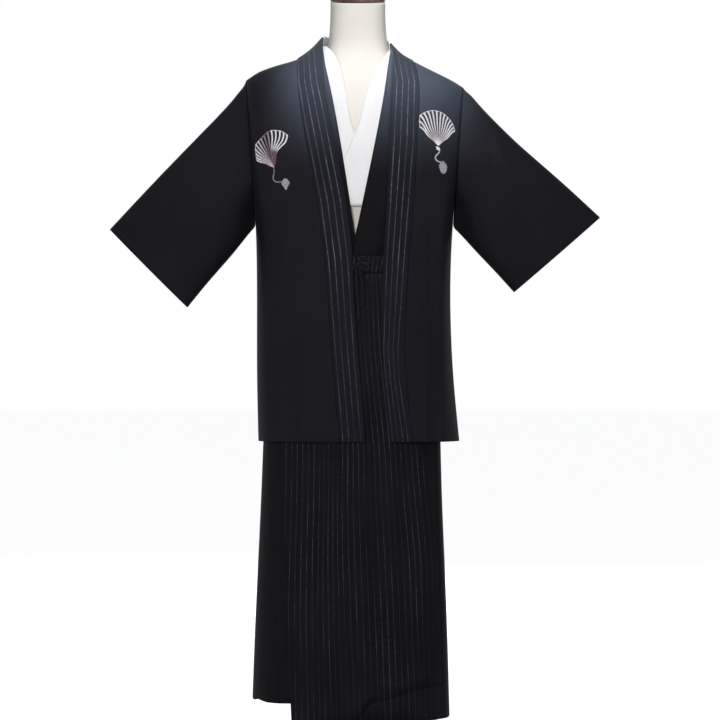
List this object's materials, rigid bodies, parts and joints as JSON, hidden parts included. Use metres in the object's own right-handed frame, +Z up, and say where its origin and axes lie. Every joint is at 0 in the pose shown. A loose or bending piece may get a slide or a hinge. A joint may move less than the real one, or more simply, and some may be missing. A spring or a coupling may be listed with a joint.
{
  "type": "yukata outfit on a limbless dress form stand",
  "caption": "Dark yukata outfit: short wide-sleeved jacket with striped collar band over a V wrap top and gathered striped wrap skirt, on a limbless dress form stand.",
  "frame": {"origin": "on the floor, in the middle of the round base", "axes": "+Z up, -Y to the front of the garment, +X to the wearer's left"},
  "size_m": [1.0303, 0.4, 1.6068],
  "materials": {
    "jacket_cloth": "matt plain weave, near black with a faint blue-grey sheen",
    "stripe_cloth": "matt near-black weave with thin broken grey-white pinstripes",
    "plain_cloth": "matt plain weave, almost black",
    "white_cloth": "smooth white plain weave",
    "form_cloth": "tight cream jersey over a hard form",
    "wood": "stained and varnished, brown",
    "stand_metal": "satin black paint"
  },
  "bodies": {
    "root": {"jacket_front_right": "jacket_cloth", "jacket_front_left": "jacket_cloth", "jacket_back": "jacket_cloth", "jacket_sleeve_right": "jacket_cloth", "jacket_sleeve_left": "jacket_cloth", "collar_band_right": "stripe_cloth", "collar_band_left": "stripe_cloth", "collar_band_back": "stripe_cloth", "wrap_top_front_right": "plain_cloth", "wrap_top_front_left": "plain_cloth", "wrap_top_back": "plain_cloth", "inner_collar_right": "white_cloth", "inner_collar_left": "white_cloth", "inner_collar_back": "white_cloth", "skirt_front": "stripe_cloth", "skirt_lap": "stripe_cloth", "skirt_back": "plain_cloth", "skirt_waist": "stripe_cloth", "tie_knot": "plain_cloth", "tie_loop_right": "plain_cloth", "tie_loop_left": "plain_cloth", "tie_end_right": "plain_cloth", "tie_end_left": "plain_cloth", "form_body": "form_cloth", "form_cap": "wood", "stand_pole": "stand_metal", "stand_ferrule": "stand_metal", "stand_base": "stand_metal"}
  },
  "joints": []
}
